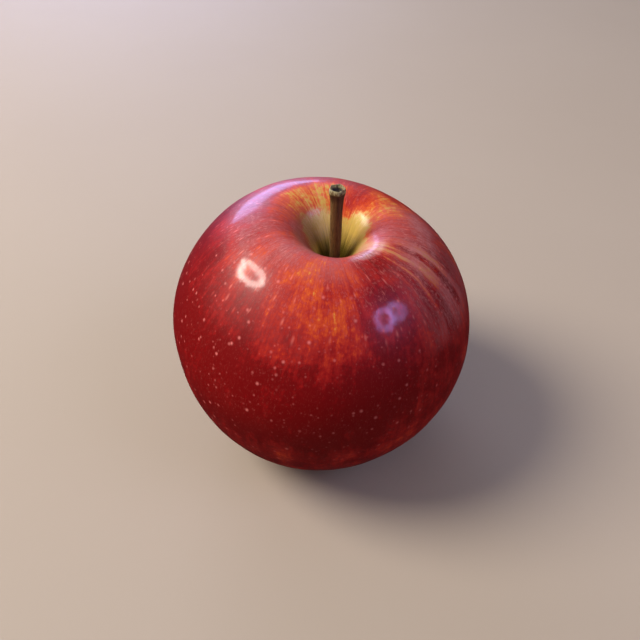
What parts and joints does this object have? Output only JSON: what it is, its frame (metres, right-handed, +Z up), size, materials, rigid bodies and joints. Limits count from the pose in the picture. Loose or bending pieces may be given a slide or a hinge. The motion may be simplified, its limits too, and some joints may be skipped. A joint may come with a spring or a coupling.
{
  "type": "red apple",
  "caption": "Round red dessert apple with an uneven crest, a deep stem cavity, a woody stem and a dried calyx underneath.",
  "frame": {"origin": "on the surface the apple stands on, under the middle of its overall size", "axes": "+Z up along the growing axis to the stem, +X to the low side of the crest, -Y to the front"},
  "size_m": [0.074, 0.0762, 0.0694],
  "materials": {
    "skin": "waxy, softly glossy red skin, streaked and dotted",
    "stem_bark": "dry brown bark with lengthwise ribs",
    "dried_sepal": "dry, matt and downy",
    "dried_stamen": "dry, dark and matt"
  },
  "bodies": {
    "root": {"fruit": "skin", "stem": "stem_bark", "sepals": "dried_sepal", "stamens": "dried_stamen"}
  },
  "joints": []
}
